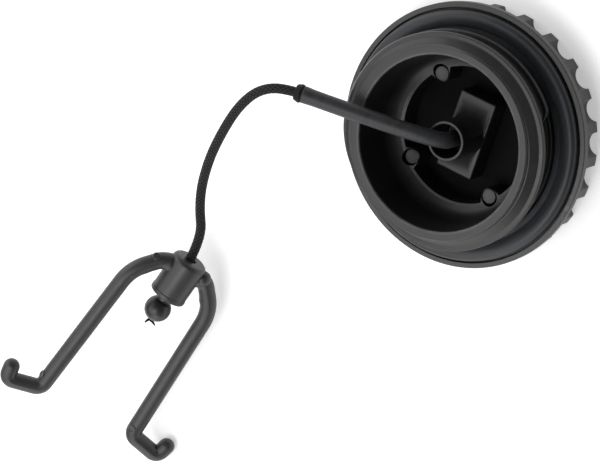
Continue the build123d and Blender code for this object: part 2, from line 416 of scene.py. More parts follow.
def edge_wear() -> bpy.types.NodeTree:
    """Mask of rubbed edges: the surface's pointiness above a limit, broken up by noise.

    Returns:
        The node group.
    """

    def build(nodes: Nodes, given: bpy.types.Node) -> Sequence[bpy.types.NodeSocket]:
        """Adds the mask.

        Args:
            nodes: the group's nodes.
            given: the group's input node.

        Returns:
            The sockets that the group puts out.
        """
        place = nodes.add("ShaderNodeTexCoord").outputs["Object"]
        pointy = nodes.add("ShaderNodeNewGeometry").outputs["Pointiness"]
        noise = nodes.add("ShaderNodeTexNoise", {"Vector": place, "Scale": 900.0, "Detail": 4.0})
        over = nodes.math("SUBTRACT", pointy, given.outputs["Limit"])
        mask = nodes.add("ShaderNodeMath", {0: nodes.math("MULTIPLY", over, 18.0),
                                            1: noise.outputs["Fac"]},
                         operation="MULTIPLY", use_clamp=True)
        return (nodes.math("MULTIPLY", mask.outputs[0], given.outputs["Amount"]),)

    return effect("edge_wear", [("Limit", 0.52), ("Amount", 0.5)], ["Mask"], build)


def settled_dust() -> bpy.types.NodeTree:
    """Pale specks and a thin film of dust: a high band of fine noise, gated by coarse noise.

    Returns:
        The node group.
    """

    def build(nodes: Nodes, given: bpy.types.Node) -> Sequence[bpy.types.NodeSocket]:
        """Adds the specks.

        Args:
            nodes: the group's nodes.
            given: the group's input node.

        Returns:
            The sockets that the group puts out.
        """
        place = nodes.add("ShaderNodeTexCoord").outputs["Object"]
        fine = nodes.add("ShaderNodeTexNoise", {"Vector": place, "Scale": 1900.0, "Detail": 2.0})
        broad = nodes.add("ShaderNodeTexNoise", {"Vector": place, "Scale": 130.0, "Detail": 3.0})
        specks = nodes.add("ShaderNodeMapRange", {"Value": fine.outputs["Fac"], "From Min": 0.66,
                                                  "From Max": 0.78})
        film = nodes.add("ShaderNodeMapRange", {"Value": broad.outputs["Fac"], "From Min": 0.45,
                                                "From Max": 0.75, "To Max": 0.35})
        both = nodes.math("ADD", specks.outputs["Result"], film.outputs["Result"])
        return (nodes.math("MULTIPLY", both, given.outputs["Amount"]),)

    return effect("settled_dust", [("Amount", 0.1)], ["Mask"], build)


def ring_band() -> bpy.types.NodeTree:
    """Mask of a ring round the Z axis: 1 at its radius, fading to 0 over its width, above Low.

    Returns:
        The node group.
    """

    def build(nodes: Nodes, given: bpy.types.Node) -> Sequence[bpy.types.NodeSocket]:
        """Adds 1 - |r - Radius| / Width, gated by the height and broken up by noise.

        Args:
            nodes: the group's nodes.
            given: the group's input node.

        Returns:
            The sockets that the group puts out.
        """
        place = nodes.add("ShaderNodeTexCoord").outputs["Object"]
        flat = nodes.add("ShaderNodeVectorMath", {0: place, 1: (1.0, 1.0, 0.0)},
                         operation="MULTIPLY")
        radius = nodes.add("ShaderNodeVectorMath", {0: flat.outputs[0]}, operation="LENGTH")
        away = nodes.math("ABSOLUTE", nodes.math("SUBTRACT", radius.outputs["Value"],
                                                 given.outputs["Radius"]))
        near = nodes.add("ShaderNodeMath", {0: 1.0, 1: nodes.math("DIVIDE", away,
                                                                  given.outputs["Width"])},
                         operation="SUBTRACT", use_clamp=True)
        height = nodes.add("ShaderNodeSeparateXYZ", {0: place}).outputs["Z"]
        gate = nodes.math("GREATER_THAN", height, given.outputs["Low"])
        noise = nodes.add("ShaderNodeTexNoise", {"Vector": place, "Scale": 420.0, "Detail": 3.0})
        broken = nodes.add("ShaderNodeMapRange", {"Value": noise.outputs["Fac"], "From Min": 0.3,
                                                  "From Max": 0.7, "To Min": 0.45})
        band = nodes.math("MULTIPLY", nodes.math("MULTIPLY", near.outputs[0], gate),
                          broken.outputs["Result"])
        return (nodes.math("MULTIPLY", band, given.outputs["Amount"]),)

    return effect("ring_band", [("Radius", 0.016), ("Width", 0.001), ("Low", 0.0),
                                ("Amount", 0.5)], ["Mask"], build)


def turned_lines() -> bpy.types.NodeTree:
    """Fine circles round the Z axis: a wave of the radius, kept between two heights.

    Returns:
        The node group.
    """

    def build(nodes: Nodes, given: bpy.types.Node) -> Sequence[bpy.types.NodeSocket]:
        """Adds the wave and its gate.

        Args:
            nodes: the group's nodes.
            given: the group's input node.

        Returns:
            The sockets that the group puts out.
        """
        place = nodes.add("ShaderNodeTexCoord").outputs["Object"]
        part = nodes.add("ShaderNodeSeparateXYZ", {0: place})
        square = nodes.math("ADD", nodes.math("MULTIPLY", part.outputs["X"], part.outputs["X"]),
                            nodes.math("MULTIPLY", part.outputs["Y"], part.outputs["Y"]))
        slant = nodes.math("SUBTRACT", nodes.math("SQRT", square), part.outputs["Z"])
        wave = nodes.math("SINE", nodes.math("MULTIPLY", slant, given.outputs["Waves"]))
        gate = nodes.add("ShaderNodeMapRange", {"Value": part.outputs["Z"],
                                                "From Min": given.outputs["Top"],
                                                "From Max": given.outputs["Low"]})
        return (nodes.math("MULTIPLY", wave, gate.outputs["Result"]),)

    return effect("turned_lines", [("Waves", 12000.0), ("Low", 0.008), ("Top", 0.012)],
                  ["Height"], build)


def moulded_swirl() -> bpy.types.NodeTree:
    """Soft streaks round the Z axis, as rubber shows: noise stretched along the circles.

    Returns:
        The node group.
    """

    def build(nodes: Nodes, given: bpy.types.Node) -> Sequence[bpy.types.NodeSocket]:
        """Adds the stretched noise, read at (cos a, sin a, k r) so that it has no seam.

        Args:
            nodes: the group's nodes.
            given: the group's input node.

        Returns:
            The sockets that the group puts out.
        """
        place = nodes.add("ShaderNodeTexCoord").outputs["Object"]
        flat = nodes.add("ShaderNodeVectorMath", {0: place, 1: (1.0, 1.0, 0.0)},
                         operation="MULTIPLY")
        radius = nodes.add("ShaderNodeVectorMath", {0: flat.outputs[0]}, operation="LENGTH")
        turn = nodes.add("ShaderNodeVectorMath", {0: flat.outputs[0]}, operation="NORMALIZE")
        unit = nodes.add("ShaderNodeSeparateXYZ", {0: turn.outputs[0]})
        far = nodes.math("MULTIPLY", radius.outputs["Value"], given.outputs["Rings"])
        spot = nodes.add("ShaderNodeCombineXYZ", {0: unit.outputs["X"], 1: unit.outputs["Y"],
                                                  2: far})
        noise = nodes.add("ShaderNodeTexNoise", {"Vector": spot.outputs[0], "Scale": 2.2,
                                                 "Detail": 5.0, "Roughness": 0.6})
        return (noise.outputs["Fac"],)

    return effect("moulded_swirl", [("Rings", 900.0)], ["Shade"], build)


def braid_weave() -> bpy.types.NodeTree:
    """Shade between a braid's strands: two sets of slanting waves on the UV map.

    Returns:
        The node group.
    """

    def build(nodes: Nodes, given: bpy.types.Node) -> Sequence[bpy.types.NodeSocket]:
        """Adds both sets of strands and the fibres in them.

        Args:
            nodes: the group's nodes.
            given: the group's input node.

        Returns:
            The sockets that the group puts out.
        """
        uv = nodes.add("ShaderNodeSeparateXYZ", {0: nodes.add("ShaderNodeTexCoord").outputs["UV"]})
        along = nodes.math("MULTIPLY", uv.outputs["X"], TAU)
        round_it = nodes.math("MULTIPLY", uv.outputs["Y"], given.outputs["Strands"])
        waves = []
        for way in ("ADD", "SUBTRACT"):
            phase = nodes.math(way, round_it, along)
            waves.append(nodes.math("ABSOLUTE", nodes.math("SINE", nodes.math("MULTIPLY", phase,
                                                                              0.5))))
        crossing = nodes.math("MULTIPLY", waves[0], waves[1])
        fibres = nodes.math("SINE", nodes.math("MULTIPLY", nodes.math("ADD", round_it, along),
                                               5.0))
        return crossing, fibres

    return effect("braid_weave", [("Strands", TAU * 6)], ["Shade", "Fibre"], build)


@dataclass(frozen=True)
class Finish:
    """What every finish has: a name, its colour and its gloss.

    Attributes:
        name: the material's name.
        colour: linear base colour.
        roughness: mean roughness.
        specular: strength of the mirror part, where 0.5 is plain plastic.
    """

    name: str
    colour: Point
    roughness: float
    specular: float = 0.5

    def start(self) -> Tuple[bpy.types.Material, Nodes, bpy.types.Node]:
        """Makes an empty material.

        Returns:
            The material, its nodes, and its shader.
        """
        material = bpy.data.materials.new(self.name)
        material.use_nodes = True
        material.node_tree.nodes.clear()
        nodes = Nodes(material.node_tree)
        shader = nodes.add("ShaderNodeBsdfPrincipled")
        shader.inputs["Specular IOR Level"].default_value = self.specular
        nodes.add("ShaderNodeOutputMaterial", {"Surface": shader.outputs["BSDF"]})
        return material, nodes, shader

    def blend(self, nodes: Nodes, share: bpy.types.NodeSocket, low: Sequence[float],
              high: Sequence[float]) -> bpy.types.NodeSocket:
        """A colour between two, by a share that changes over the surface.

        Args:
            nodes: the material's nodes.
            share: 0 for the first colour and 1 for the second.
            low: the first colour.
            high: the second colour.

        Returns:
            The mixed colour's socket.
        """
        mix = nodes.add("ShaderNodeMix", data_type="RGBA")
        nodes.tree.links.new(share, mix.inputs["Factor"])
        mix.inputs["A"].default_value = (*low, 1.0)
        mix.inputs["B"].default_value = (*high, 1.0)
        return mix.outputs["Result"]


@dataclass(frozen=True)
class RingBand:
    """Where a ring of painted light lies round the Z axis, in metres, and how strong it is."""

    radius: float
    width: float
    low: float
    amount: float

    def mask(self, nodes: Nodes) -> bpy.types.NodeSocket:
        """Places the ring's mask in a material.

        Args:
            nodes: the material's nodes.

        Returns:
            The mask's socket.
        """
        group = nodes.add("ShaderNodeGroup", node_tree=ring_band())
        for name, value in (("Radius", self.radius), ("Width", self.width), ("Low", self.low),
                            ("Amount", self.amount)):
            group.inputs[name].default_value = value
        return group.outputs["Mask"]


@dataclass(frozen=True)
class MouldedPlastic(Finish):
    """Black glass-filled nylon straight from the mould.

    Attributes:
        grain: cells of the mould's grain, per metre.
        depth: bump of the grain, in metres.
        wear: share of pale rub on edges.
        dust: share of pale specks.
        lines: bump of turned circles low in the bowl, in metres; 0 for none.
        painted_highlight_ring: a ring of painted highlight, if it has one.
    """

    grain: float = 3200.0
    depth: float = 0.00002
    wear: float = 0.3
    dust: float = 0.06
    lines: float = 0.0
    painted_highlight_ring: Optional[RingBand] = None

    def material(self) -> bpy.types.Material:
        """Colour shifts with the grain, dust, edge wear and any ring of painted highlight,
        roughness with the grain, and bump from both.

        Returns:
            The material.
        """
        material, nodes, shader = self.start()
        grain = nodes.add("ShaderNodeGroup", node_tree=mould_grain())
        grain.inputs["Scale"].default_value = self.grain
        wear = nodes.add("ShaderNodeGroup", node_tree=edge_wear())
        wear.inputs["Amount"].default_value = self.wear
        dust = nodes.add("ShaderNodeGroup", node_tree=settled_dust())
        dust.inputs["Amount"].default_value = self.dust
        dark = [0.72 * c for c in self.colour]
        pale = [1.3 * c for c in self.colour]
        base = self.blend(nodes, grain.outputs["Shade"], dark, pale)
        pale_share = nodes.math("ADD", wear.outputs["Mask"], dust.outputs["Mask"])
        # Edge wear and dust are the plastic's own marks; the ring, where there is one, is a painted
        # highlight.
        if self.painted_highlight_ring:
            pale_share = nodes.math("ADD", pale_share, self.painted_highlight_ring.mask(nodes))
        wear_dust_and_highlight = nodes.add("ShaderNodeMix", data_type="RGBA")
        nodes.tree.links.new(pale_share, wear_dust_and_highlight.inputs["Factor"])
        nodes.tree.links.new(base, wear_dust_and_highlight.inputs["A"])
        wear_dust_and_highlight.inputs["B"].default_value = (0.13, 0.13, 0.125, 1.0)
        nodes.tree.links.new(wear_dust_and_highlight.outputs["Result"], shader.inputs["Base Color"])
        rough = nodes.add("ShaderNodeMapRange", {"Value": grain.outputs["Shade"],
                                                 "To Min": self.roughness - 0.09,
                                                 "To Max": self.roughness + 0.09})
        nodes.tree.links.new(rough.outputs["Result"], shader.inputs["Roughness"])
        bumped = nodes.add("ShaderNodeBump", {"Height": grain.outputs["Height"],
                                              "Distance": self.depth, "Strength": 0.8})
        if self.lines:
            rings = nodes.add("ShaderNodeGroup", node_tree=turned_lines())
            ringed = nodes.add("ShaderNodeBump", {"Height": rings.outputs["Height"],
                                                  "Distance": self.lines, "Strength": 1.0,
                                                  "Normal": bumped.outputs["Normal"]})
            bumped = ringed
        nodes.tree.links.new(bumped.outputs["Normal"], shader.inputs["Normal"])
        return material


@dataclass(frozen=True)
class MouldedRubber(Finish):
    """Oil-proof rubber with a faint blue bloom.

    Attributes:
        bloom: linear colour of the bloom.
        rings: how fine the streaks round the axis are.
        depth: bump of the streaks, in metres.
        sheen: weight of the soft edge sheen.
        painted_light_ring: a ring where light is painted into the colour, if it has one.
        painted_light_colour: linear colour of the painted light there.
    """

    bloom: Point = (0.018, 0.021, 0.027)
    rings: float = 900.0
    depth: float = 0.00003
    sheen: float = 0.04
    painted_light_ring: Optional[RingBand] = None
    painted_light_colour: Point = (0.040, 0.044, 0.052)

    def material(self) -> bpy.types.Material:
        """Colour, roughness and bump follow streaks, fine grain and dust; colour also takes painted
        light.

        Returns:
            The material.
        """
        material, nodes, shader = self.start()
        swirl = nodes.add("ShaderNodeGroup", node_tree=moulded_swirl())
        swirl.inputs["Rings"].default_value = self.rings
        grain = nodes.add("ShaderNodeGroup", node_tree=mould_grain())
        grain.inputs["Scale"].default_value = 4200.0
        dust = nodes.add("ShaderNodeGroup", node_tree=settled_dust())
        dust.inputs["Amount"].default_value = 0.12
        share = nodes.add("ShaderNodeMapRange", {"Value": swirl.outputs["Shade"],
                                                 "From Min": 0.35, "From Max": 0.7})
        base = self.blend(nodes, share.outputs["Result"], self.colour, self.bloom)
        # Painted light: over the ring the colour is lifted towards a paler blue, where the surface
        # lies in shade.
        if self.painted_light_ring:
            thick = nodes.add("ShaderNodeMix", data_type="RGBA")
            nodes.tree.links.new(self.painted_light_ring.mask(nodes), thick.inputs["Factor"])
            nodes.tree.links.new(base, thick.inputs["A"])
            thick.inputs["B"].default_value = (*self.painted_light_colour, 1.0)
            base = thick.outputs["Result"]
        dusty = nodes.add("ShaderNodeMix", data_type="RGBA")
        nodes.tree.links.new(dust.outputs["Mask"], dusty.inputs["Factor"])
        nodes.tree.links.new(base, dusty.inputs["A"])
        dusty.inputs["B"].default_value = (0.09, 0.093, 0.1, 1.0)
        nodes.tree.links.new(dusty.outputs["Result"], shader.inputs["Base Color"])
        rough = nodes.add("ShaderNodeMapRange", {"Value": swirl.outputs["Shade"],
                                                 "To Min": self.roughness - 0.12,
                                                 "To Max": self.roughness + 0.12})
        nodes.tree.links.new(rough.outputs["Result"], shader.inputs["Roughness"])
        height = nodes.math("MULTIPLY_ADD", grain.outputs["Height"], 0.4, swirl.outputs["Shade"])
        bumped = nodes.add("ShaderNodeBump", {"Height": height, "Distance": self.depth,
                                              "Strength": 0.7})
        nodes.tree.links.new(bumped.outputs["Normal"], shader.inputs["Normal"])
        shader.inputs["Sheen Weight"].default_value = self.sheen
        return material


@dataclass(frozen=True)
class BraidedFibre(Finish):
    """Black polyester braid, with shade between its strands and fibres along them.

    Attributes:
        strands: strands that run each way round.
        high: linear colour on top of a strand.
    """

    strands: int = 8
    high: Point = (0.019, 0.019, 0.0195)

    def material(self) -> bpy.types.Material:
        """Colour and bump follow the weave on the piece's UV map.

        Returns:
            The material.
        """
        material, nodes, shader = self.start()
        weave = nodes.add("ShaderNodeGroup", node_tree=braid_weave())
        weave.inputs["Strands"].default_value = TAU * self.strands
        grain = nodes.add("ShaderNodeGroup", node_tree=mould_grain())
        grain.inputs["Scale"].default_value = 6000.0
        share = nodes.math("MULTIPLY", weave.outputs["Shade"], grain.outputs["Shade"])
        wide = nodes.add("ShaderNodeMapRange", {"Value": share, "From Max": 0.5})
        base = self.blend(nodes, wide.outputs["Result"], self.colour, self.high)
        nodes.tree.links.new(base, shader.inputs["Base Color"])
        rough = nodes.add("ShaderNodeMapRange", {"Value": weave.outputs["Shade"],
                                                 "To Min": self.roughness + 0.12,
                                                 "To Max": self.roughness - 0.1})
        nodes.tree.links.new(rough.outputs["Result"], shader.inputs["Roughness"])
        height = nodes.math("MULTIPLY_ADD", weave.outputs["Fibre"], 0.12, weave.outputs["Shade"])
        bumped = nodes.add("ShaderNodeBump", {"Height": height, "Distance": 0.00008,
                                              "Strength": 0.8})
        nodes.tree.links.new(bumped.outputs["Normal"], shader.inputs["Normal"])
        shader.inputs["Sheen Weight"].default_value = 0.03
        shader.inputs["Sheen Roughness"].default_value = 0.4
        return material


@dataclass(frozen=True)
class Dressing:
    """How a piece is finished and what it stands for.

    Attributes:
        finish: its material.
        slot: the material slot it takes its finish from; not used.
        body: the body that it rides on.
        stands_for: the solids that it replaces.
    """

    finish: bpy.types.Material
    slot: str
    body: Body
    stands_for: Tuple[str, ...]

    def put_on(self, piece: bpy.types.Object) -> bpy.types.Object:
        """Gives a piece its material and body, and hides the solids that it stands for.

        Args:
            piece: the piece to finish.

        Returns:
            The same piece.
        """
        piece.data.materials.append(self.finish)
        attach(piece, self.body.value)
        if self.stands_for:
            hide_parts(*self.stands_for)
        LOG.info("%s rides on %s: %d faces", piece.name, self.body.value,
                 len(piece.data.polygons))
        return piece


# ---------------------------------------------------------------- the cap


@dataclass
class Grip:
    """The outer knob: a toothed pan with a bezel lip, a seal seat and four stake pins."""

    bezel_radius: float = 24.0
    bezel_top: float = 8.0
    bezel_thickness: float = 1.6
    bezel_width: float = 1.0
    bezel_fall: float = 0.12
    radius: float = 23.2
    edge_round: float = 1.4
    floor: float = 2.2
    cup_seat_radius: float = 20.4
    seat: float = 7.0
    teeth: int = 24
    tooth_land: float = 1.9
    scallop_depth: float = 1.9
    corner_blend: float = 0.1
    pin_circle: float = 11.77
    pin_radius: float = 1.32
    pin_top: float = 7.1
    pin_angle: float = 3.0
    columns: int = 960

    def wall_radius(self, angle: np.ndarray) -> np.ndarray:
        """Radius of the toothed wall at each angle.

        Over a scallop it is the near side of a circle of radius s at distance d from the axis,
        d cos p - sqrt(s s - d d sin p sin p), and over a tooth the full radius. A smooth minimum,
        (a + b - sqrt((a - b)(a - b) + k k)) / 2, joins the two with soft corners.

        Args:
            angle: angles round the axis, in radians.

        Returns:
            The wall's radius at each angle, in millimetres.
        """
        gap = TAU * self.radius / self.teeth - self.tooth_land
        s = (gap ** 2 / 4 + self.scallop_depth ** 2) / (2 * self.scallop_depth)
        d = self.radius - self.scallop_depth + s
        pitch = TAU / self.teeth
        p = (angle % pitch) - pitch / 2
        under = s ** 2 - (d * np.sin(p)) ** 2
        scallop = d * np.cos(p) - np.sqrt(np.maximum(under, 0)) + np.where(under < 0, 4.0, 0.0)
        k = self.corner_blend
        soft = (scallop + self.radius - np.sqrt((scallop - self.radius) ** 2 + k * k)) / 2
        return np.minimum(soft, self.radius)

    def pan(self) -> Shell:
        """The pan's surface: a turned section whose wall rows follow the teeth.

        Returns:
            The pan's closed shell.
        """
        angle = np.linspace(0, TAU, self.columns, endpoint=False)
        wall = self.wall_radius(angle)
        tall = (wall - wall.min()) / (wall.max() - wall.min())
        edge = 0.45 + (self.edge_round - 0.45) * tall
        k = np.linspace(0, np.pi / 2, 9)[:, None]
        under = self.bezel_top - self.bezel_thickness
        face_r = np.array([0.6, 6.0, 12.0, 18.0, 21.0])[:, None] * np.ones_like(angle)
        round_r, round_z = wall - edge * (1 - np.sin(k)), edge * (1 - np.cos(k))
        wall_z = np.array([0.3, 0.75, 0.97])[:, None] * under * np.ones_like(angle)
        wall_z[0] = np.maximum(wall_z[0], edge + 0.1)
        wall_r = wall * np.ones_like(wall_z)
        fillet = wall + 0.2 * (1 - np.cos(k[::2]))
        fillet_z = under - 0.2 * (1 - np.sin(k[::2]))
        top = soften([(self.radius + 0.3, under), (self.bezel_radius, under),
                      (self.bezel_radius, self.bezel_top - self.bezel_fall),
                      (self.bezel_radius - self.bezel_width, self.bezel_top),
                      (self.bezel_radius - self.bezel_width, self.seat),
                      (self.cup_seat_radius, self.seat), (self.cup_seat_radius, self.floor),
                      (15.0, self.floor)], [0.2, 0.22, 0.15, 0.2, 0.15, 0.3])
        top = np.vstack([top, [(r, self.floor) for r in (11.0, 6.0, 2.5, 0.6)]])
        flat = np.ones_like(angle)
        r = np.vstack([face_r, round_r, wall_r, fillet, top[:, :1] * flat])
        z = np.vstack([0 * face_r, round_z, wall_z, fillet_z * flat, top[:, 1:] * flat])
        return closed_grid(np.stack([r * np.cos(angle), r * np.sin(angle), z], axis=-1))

    def pins(self) -> List[Shell]:
        """The stake pins: turned rods with a softly dished and rounded top.

        Returns:
            The four pins.
        """
        section = soften([(self.pin_radius, self.floor - 0.2), (self.pin_radius, self.pin_top),
                          (0.5, self.pin_top - 0.04), (0.1, self.pin_top - 0.06)], [0.12, 0.2])
        rod = lathe(section, 48, ring=False)
        angles = np.radians(self.pin_angle + 90.0 * np.arange(4))
        return [placed(rod, (self.pin_circle * np.cos(a), self.pin_circle * np.sin(a), 0),
                       (1, 0, 0), (0, 0, 1)) for a in angles]

    def build(self) -> List[bpy.types.Object]:
        """Makes the grip.

        Returns:
            The finished piece.
        """
        finish = MouldedPlastic("grip_nylon", (0.035, 0.035, 0.0335), 0.46, wear=0.35, dust=0.06)
        dressing = Dressing(finish.material(), "grip_plastic", Body.CAP, ("grip",))
        piece = dressing.put_on(make_piece("toothed_grip", [self.pan(), *self.pins()]))
        # Painted shade: the recess floor gets a near-black, low-gloss material so that it reads as
        # dark as the shade that falls deep in the recess.
        matt = MouldedPlastic("recess_painted_shade", (0.005, 0.005, 0.005), 0.85, wear=0.0, dust=0.05,
                              specular=0.12)
        piece.data.materials.append(matt.material())
        middles = np.array([face.center for face in piece.data.polygons]) / MM
        recessed = ((np.abs(middles[:, 2] - self.floor) < 0.02)
                    & (np.hypot(middles[:, 0], middles[:, 1]) < self.cup_seat_radius))
        piece.data.polygons.foreach_set("material_index", recessed.astype(np.int32))
        return [piece]


@dataclass
class ThreadedCup:
    """The hollow plug that enters the filler neck, with its screw thread and bored bosses."""

    core_radius: float = 17.5
    neck_radius: float = 18.3
    neck_top: float = 9.6
    rim: float = 17.85
    seat: float = 7.0
    floor: float = 2.2
    flange_radius: float = 20.3
    mouth_radius: float = 15.8
    bowl_radius: float = 15.2
    fillet_top: float = 10.5
    fillet_radius: float = 3.4
    recess_radius: float = 12.4
    rim_round: float = 0.3
    thread_depth: float = 2.3
    pitch: float = 3.7
    crest_half: float = 0.5
    root_half: float = 1.25
    crest_shelf: float = 0.85
    upper_root: float = 1.75
    start_angle: float = 171.5
    start_height: float = 11.7
    turns: float = 1.6
    run_in: float = 8.0
    run_out: float = 60.0
    nose: float = 0.3
    boss_circle: float = 12.0
    boss_radius: float = 1.85
    boss_bore: float = 1.55
    boss_angle: float = 3.0
    columns: int = 480

    def thread(self) -> Shell:
        """The screw thread: a soft ridge with a long upper slope, carried round on a helix.

        At run t the section stands at angle t from the start and climbs one pitch each turn. Its
        part outside the core is scaled by f(t), which grows from nothing over the run-in and fades
        over the run-out. Where it would pass the rim it is cut off level with it, and towards the
        rim the crest draws in by the nose share, as a lead-in.

        Returns:
            The thread's shell.
        """
        shelf, slope = self.thread_depth - self.crest_shelf, self.crest_half + 0.1
        section = soften([(-0.8, -self.root_half), (0.0, -self.root_half),
                          (self.thread_depth, -self.crest_half),
                          (self.thread_depth, self.crest_half), (shelf, slope),
                          (0.3, self.upper_root), (-0.8, self.upper_root + 0.3)],
                         [0.15, 0.25, 0.22, 0.22, 0.45, 0.3, 0.15], steps=5, closed=True)
        t = np.linspace(0, 360 * self.turns, int(240 * self.turns))[:, None]
        full = (np.sqrt(smooth_step(t / self.run_in))
                * smooth_step((360 * self.turns - t) / self.run_out))
        z = self.start_height + self.pitch * t / 360 + section[:, 1] * (0.25 + 0.75 * full)
        drawn = 1 - self.nose * smooth_step((z - self.rim + 1.5) / 1.5)
        out = np.where(section[:, 0] > 0, section[:, 0] * drawn * full, section[:, 0])
        r, z = self.core_radius - 0.03 + out, np.minimum(z, self.rim - 0.015)
        angle = np.radians(self.start_angle + t)
        return closed_grid(np.stack([r * np.cos(angle), r * np.sin(angle), z], axis=-1))

    def recess_edge(self, angle: np.ndarray) -> np.ndarray:
        """Radius of the recess at each angle: round, less a rounded bulge at each boss.

        The bulge is d (1 - q q) to the power 3/4, where q is the angle from the boss over the
        boss's half angle and d is how far the boss stands into the recess.

        Args:
            angle: angles round the axis, in radians.

        Returns:
            The recess's radius at each angle, in millimetres.
        """
        quarter = np.pi / 2
        off = (angle - np.radians(self.boss_angle) + quarter / 2) % quarter - quarter / 2
        q = off * self.boss_circle / (self.boss_radius + 0.2)
        deep = self.recess_radius - self.boss_circle + self.boss_radius
        return self.recess_radius - deep * np.maximum(1 - q * q, 0) ** 0.75

    def shell(self) -> Shell:
        """The cup's surface: its closed section turned round the axis, with the bosses' bulges.

        Returns:
            The cup's closed shell, before its bores.
        """
        drop = np.sqrt(self.fillet_radius ** 2
                       - (self.recess_radius - self.bowl_radius + self.fillet_radius) ** 2)
        centre = (self.bowl_radius - self.fillet_radius, self.fillet_top)
        end = np.arctan2(-drop, self.recess_radius - centre[0])
        sweep_angle = np.linspace(0, end, 24)
        bowl = np.stack([centre[0] + self.fillet_radius * np.cos(sweep_angle),
                         centre[1] + self.fillet_radius * np.sin(sweep_angle)], axis=-1)
        lip = soften([(self.core_radius - 0.5, self.rim), (self.mouth_radius, self.rim),
                      (self.mouth_radius - 0.05, self.rim - 1.6)], [0.35])
        shelf = self.fillet_top - drop
        outside = soften([(self.recess_radius + 0.2, self.floor), (self.flange_radius, self.floor),
                          (self.flange_radius, self.seat), (self.neck_radius, self.seat),
                          (self.neck_radius, self.neck_top), (self.core_radius, self.neck_top),
                          (self.core_radius, self.neck_top + 0.5)], [0.3, 0.2, 0.1, 0.2, 0.2])
        top = self.rim - self.rim_round
        wall_z = np.linspace(self.neck_top + 0.5, top, 6)[1:]
        k = np.linspace(0, np.pi / 2, 6)[1:]
        outer = np.stack([self.core_radius - self.rim_round * (1 - np.cos(k)),
                          top + self.rim_round * np.sin(k)], axis=-1)
        wall = np.vstack([np.stack([np.full_like(wall_z, self.core_radius), wall_z], -1), outer])
        angle = np.linspace(0, TAU, self.columns, endpoint=False)
        flat = np.ones_like(angle)
        edge = self.recess_edge(angle)
        turn = np.linspace(0, np.pi / 2, 6)[:, None]
        shelf_share = np.array([0.15, 0.5, 0.85])[:, None]
        shelf_r = self.recess_radius + (edge + 0.3 - self.recess_radius) * shelf_share
        rows_r = [wall[:, :1] * flat, lip[:, :1] * flat, bowl[:, :1] * flat,
                  np.minimum(shelf_r, self.recess_radius), edge + 0.3 * (1 - np.sin(turn)),
                  np.repeat(edge[None], 3, axis=0), outside[:, :1] * flat]
        wall_low = np.array([shelf - 0.5, self.floor + 0.2, self.floor])[:, None]
        rows_z = [wall[:, 1:] * flat, lip[:, 1:] * flat, bowl[:, 1:] * flat,
                  (shelf - 0.03 * shelf_share) * flat,
                  (shelf - 0.05 - 0.3 * (1 - np.cos(turn))) * flat,
                  wall_low * flat, outside[:, 1:] * flat]
        r, z = np.vstack(rows_r), np.vstack(rows_z)
        return closed_grid(np.stack([r * np.cos(angle), r * np.sin(angle), z], axis=-1), ring=True)

    def cutters(self) -> bpy.types.Object:
        """Rods that open the bosses' bores, up through the bowl's fillet.

        Returns:
            The object that cuts the bores.
        """
        rod = lathe(np.array([(self.boss_bore + 0.01, self.floor - 1.0),
                              (self.boss_bore + 0.01, self.fillet_top + 1.0)]), 56, ring=False)
        angles = np.radians(self.boss_angle + 90.0 * np.arange(4))
        rods = [placed(rod, (self.boss_circle * np.cos(a), self.boss_circle * np.sin(a), 0),
                       (1, 0, 0), (0, 0, 1)) for a in angles]
        return make_piece("bore_cutter", rods)

    def build(self) -> List[bpy.types.Object]:
        """Makes the cup, cuts the four bores and adds the thread.

        Returns:
            The finished piece.
        """
        blank, cutter = make_piece("cup_blank", [self.shell()]), self.cutters()
        cut = blank.modifiers.new("bores", "BOOLEAN")
        cut.operation, cut.object, cut.solver = "DIFFERENCE", cutter, "EXACT"
        graph = bpy.context.evaluated_depsgraph_get()
        bored = bpy.data.meshes.new_from_object(blank.evaluated_get(graph))
        bored.set_sharp_from_angle(angle=np.radians(42))
        thread = make_piece("thread_blank", [self.thread()])
        joined = bmesh.new()
        for part in (bored, thread.data):
            joined.from_mesh(part)
        mesh = bpy.data.meshes.new("threaded_cup")
        joined.to_mesh(mesh)
        joined.free()
        for spare in (blank, cutter, thread):
            bpy.data.objects.remove(spare)
        piece = bpy.data.objects.new("threaded_cup", mesh)
        bpy.context.scene.collection.objects.link(piece)
        # Painted highlight: a pale ring just inside the mouth, where the rounded lip catches the
        # light.
        lip = RingBand((self.mouth_radius + 0.12) * MM, 0.4 * MM, (self.rim - 0.5) * MM, 0.75)
        finish = MouldedPlastic("cup_nylon", (0.014, 0.014, 0.0135), 0.42, wear=0.0, dust=0.03,
                                lines=0.00001, painted_highlight_ring=lip)
        return [Dressing(finish.material(), "cup_plastic", Body.CAP, ("cup",)).put_on(piece)]


